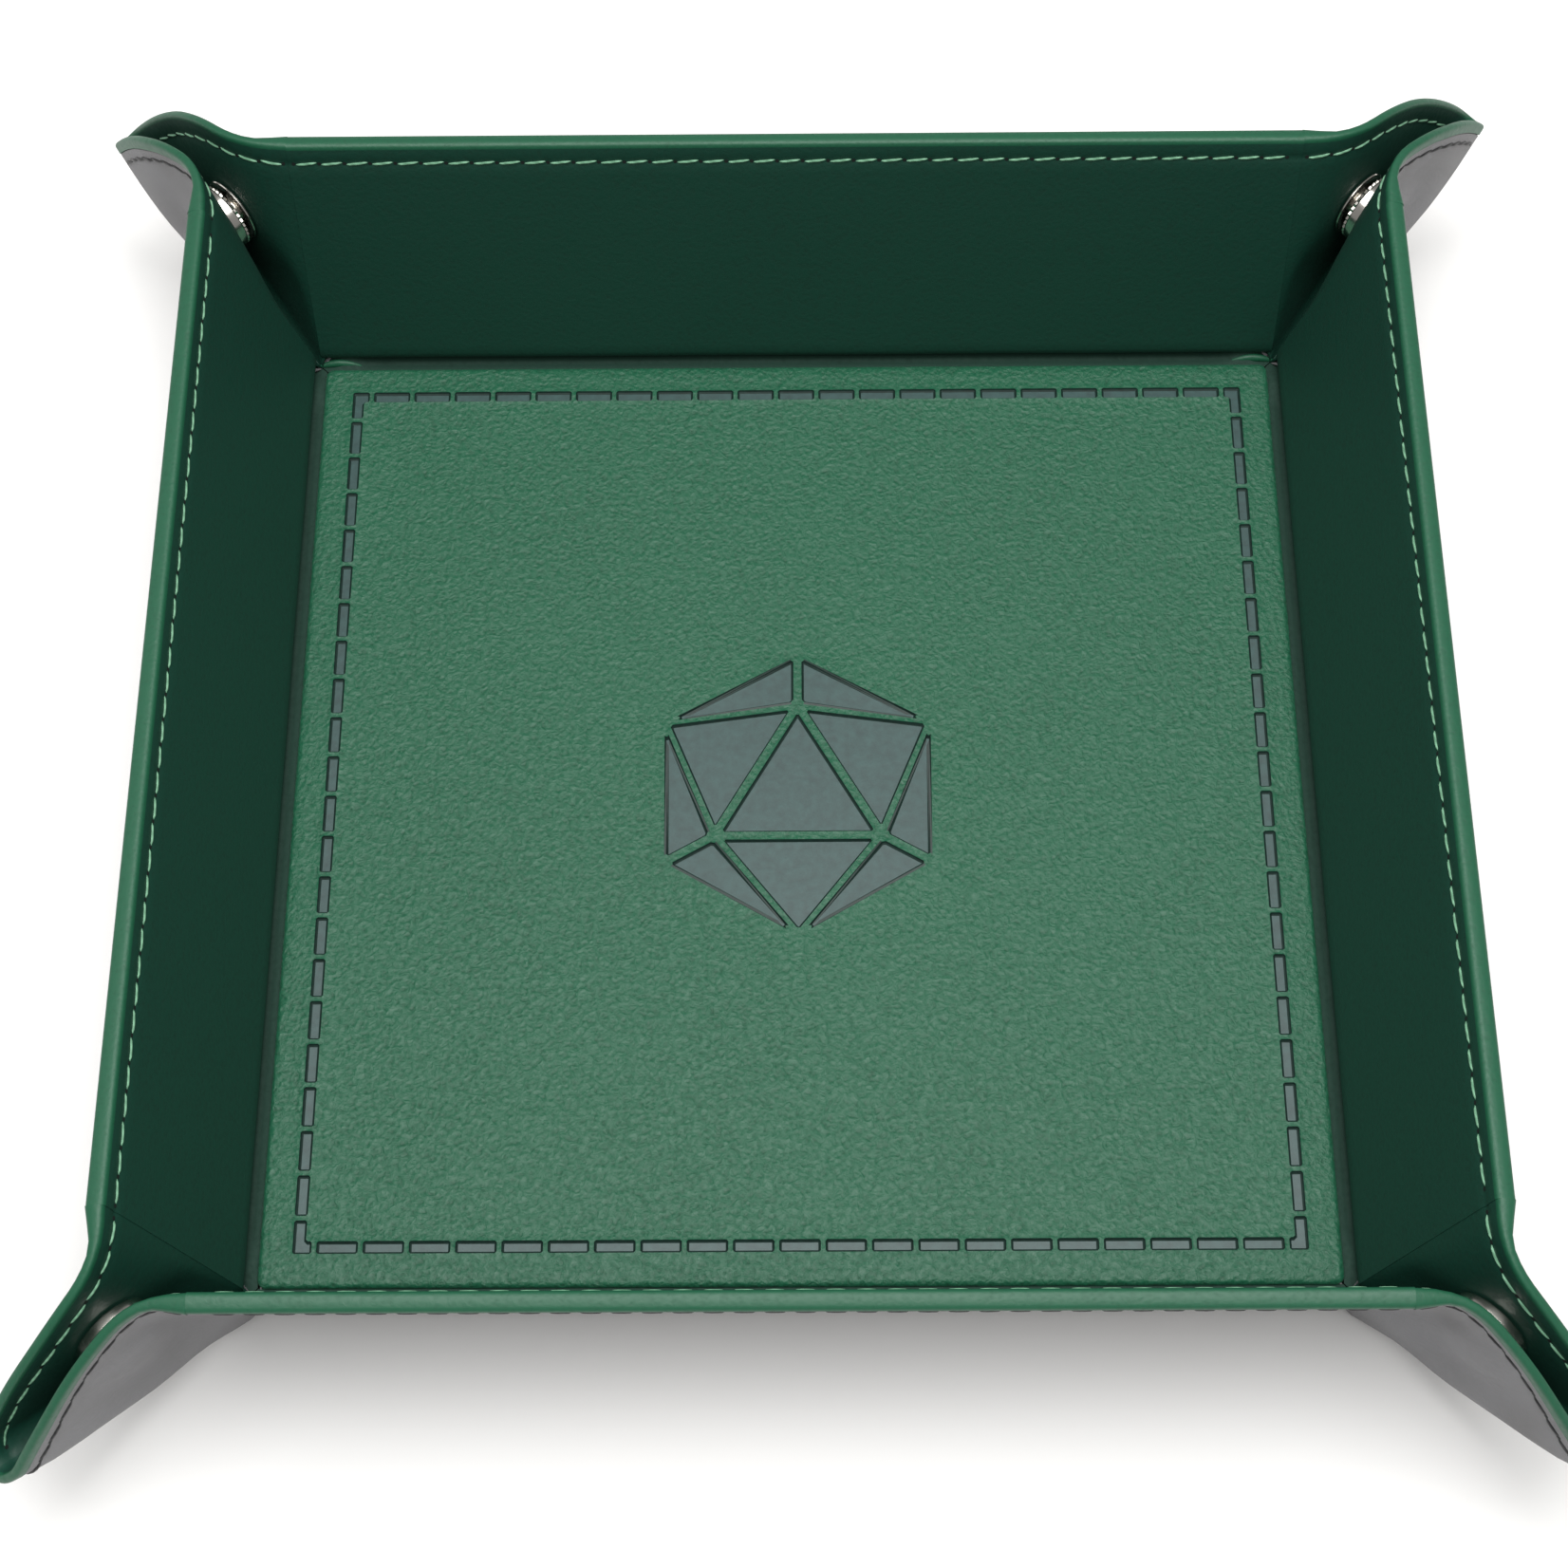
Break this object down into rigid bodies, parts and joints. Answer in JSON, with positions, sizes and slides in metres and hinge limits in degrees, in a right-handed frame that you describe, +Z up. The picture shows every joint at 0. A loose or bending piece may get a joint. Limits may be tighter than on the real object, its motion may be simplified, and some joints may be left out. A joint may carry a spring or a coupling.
{
  "type": "folding dice tray",
  "caption": "Square folding dice tray with hinged walls and pinched corners held by press studs, which opens to lie flat.",
  "frame": {"origin": "middle of the base's underside, on the surface that the tray stands on", "axes": "+Z up out of the open tray, -Y towards the front wall, +X to the right"},
  "size_m": [0.2656, 0.2656, 0.0531],
  "materials": {
    "green_leather": "pebbled, satin",
    "grey_suede": "napped, matte",
    "board": "plain pressed board",
    "nickel": "bright nickel plate",
    "green_thread": "waxed thread"
  },
  "bodies": {
    "base": {"base_face": "green_leather", "base_board": "board", "base_back": "grey_suede"},
    "wall_back": {"wall_back_face": "green_leather", "wall_back_board": "board", "wall_back_back": "grey_suede", "wall_back_thread": "green_thread"},
    "wall_left": {"wall_left_face": "green_leather", "wall_left_board": "board", "wall_left_back": "grey_suede", "wall_left_thread": "green_thread"},
    "wall_front": {"wall_front_face": "green_leather", "wall_front_board": "board", "wall_front_back": "grey_suede", "wall_front_thread": "green_thread"},
    "wall_right": {"wall_right_face": "green_leather", "wall_right_board": "board", "wall_right_back": "grey_suede", "wall_right_thread": "green_thread"},
    "ear_back_right": {"ear_back_right_face": "green_leather", "ear_back_right_back": "grey_suede", "snap_post_back_right": "nickel", "snap_stud_back_right": "nickel"},
    "ear_back_left": {"ear_back_left_face": "green_leather", "ear_back_left_back": "grey_suede", "snap_post_back_left": "nickel", "snap_stud_back_left": "nickel"},
    "ear_left_back": {"ear_left_back_face": "green_leather", "ear_left_back_back": "grey_suede", "snap_post_left_back": "nickel", "snap_socket_left_back": "nickel"},
    "ear_left_front": {"ear_left_front_face": "green_leather", "ear_left_front_back": "grey_suede", "snap_post_left_front": "nickel", "snap_socket_left_front": "nickel"},
    "ear_front_left": {"ear_front_left_face": "green_leather", "ear_front_left_back": "grey_suede", "snap_post_front_left": "nickel", "snap_stud_front_left": "nickel"},
    "ear_front_right": {"ear_front_right_face": "green_leather", "ear_front_right_back": "grey_suede", "snap_post_front_right": "nickel", "snap_stud_front_right": "nickel"},
    "ear_right_front": {"ear_right_front_face": "green_leather", "ear_right_front_back": "grey_suede", "snap_post_right_front": "nickel", "snap_socket_right_front": "nickel"},
    "ear_right_back": {"ear_right_back_face": "green_leather", "ear_right_back_back": "grey_suede", "snap_post_right_back": "nickel", "snap_socket_right_back": "nickel"}
  },
  "joints": [
    {"name": "fold_front", "type": "hinge", "parent": "base", "child": "wall_front", "pos_m": [0, -0.0935, 0.001], "axis": [1, 0, 0], "range_deg": [0, 74]},
    {"name": "fold_back", "type": "hinge", "parent": "base", "child": "wall_back", "pos_m": [0, 0.0935, 0.001], "axis": [-1, 0, 0], "range_deg": [0, 74]},
    {"name": "fold_left", "type": "hinge", "parent": "base", "child": "wall_left", "pos_m": [-0.0935, 0, 0.001], "axis": [0, -1, 0], "range_deg": [0, 74]},
    {"name": "fold_right", "type": "hinge", "parent": "base", "child": "wall_right", "pos_m": [0.0935, 0, 0.001], "axis": [0, 1, 0], "range_deg": [0, 74]},
    {"name": "pinch_front_left", "type": "hinge", "parent": "wall_front", "child": "ear_front_left", "pos_m": [-0.08999, -0.09208, 0.00236], "axis": [0.137, 0.4878, -0.8622], "range_deg": [0, 47.9]},
    {"name": "pinch_front_right", "type": "hinge", "parent": "wall_front", "child": "ear_front_right", "pos_m": [0.08999, -0.09208, 0.00236], "axis": [0.137, -0.4878, 0.8622], "range_deg": [0, 47.9]},
    {"name": "pinch_back_right", "type": "hinge", "parent": "wall_back", "child": "ear_back_right", "pos_m": [0.08999, 0.09208, 0.00236], "axis": [-0.137, -0.4878, -0.8622], "range_deg": [0, 47.9]},
    {"name": "pinch_back_left", "type": "hinge", "parent": "wall_back", "child": "ear_back_left", "pos_m": [-0.08999, 0.09208, 0.00236], "axis": [-0.137, 0.4878, 0.8622], "range_deg": [0, 47.9]},
    {"name": "pinch_left_back", "type": "hinge", "parent": "wall_left", "child": "ear_left_back", "pos_m": [-0.09208, 0.08999, 0.00236], "axis": [0.4878, -0.137, -0.8622], "range_deg": [0, 47.9]},
    {"name": "pinch_left_front", "type": "hinge", "parent": "wall_left", "child": "ear_left_front", "pos_m": [-0.09208, -0.08999, 0.00236], "axis": [-0.4878, -0.137, 0.8622], "range_deg": [0, 47.9]},
    {"name": "pinch_right_front", "type": "hinge", "parent": "wall_right", "child": "ear_right_front", "pos_m": [0.09208, -0.08999, 0.00236], "axis": [-0.4878, 0.137, -0.8622], "range_deg": [0, 47.9]},
    {"name": "pinch_right_back", "type": "hinge", "parent": "wall_right", "child": "ear_right_back", "pos_m": [0.09208, 0.08999, 0.00236], "axis": [0.4878, 0.137, 0.8622], "range_deg": [0, 47.9]}
  ],
  "couplings": [
    {"joint": "fold_back", "follows": "fold_front", "ratio": 1},
    {"joint": "fold_left", "follows": "fold_front", "ratio": 1},
    {"joint": "fold_right", "follows": "fold_front", "ratio": 1},
    {"joint": "pinch_front_left", "follows": "fold_front", "ratio": 0.64705},
    {"joint": "pinch_front_right", "follows": "fold_front", "ratio": 0.64705},
    {"joint": "pinch_back_right", "follows": "fold_front", "ratio": 0.64705},
    {"joint": "pinch_back_left", "follows": "fold_front", "ratio": 0.64705},
    {"joint": "pinch_left_back", "follows": "fold_front", "ratio": 0.64705},
    {"joint": "pinch_left_front", "follows": "fold_front", "ratio": 0.64705},
    {"joint": "pinch_right_front", "follows": "fold_front", "ratio": 0.64705},
    {"joint": "pinch_right_back", "follows": "fold_front", "ratio": 0.64705}
  ]
}
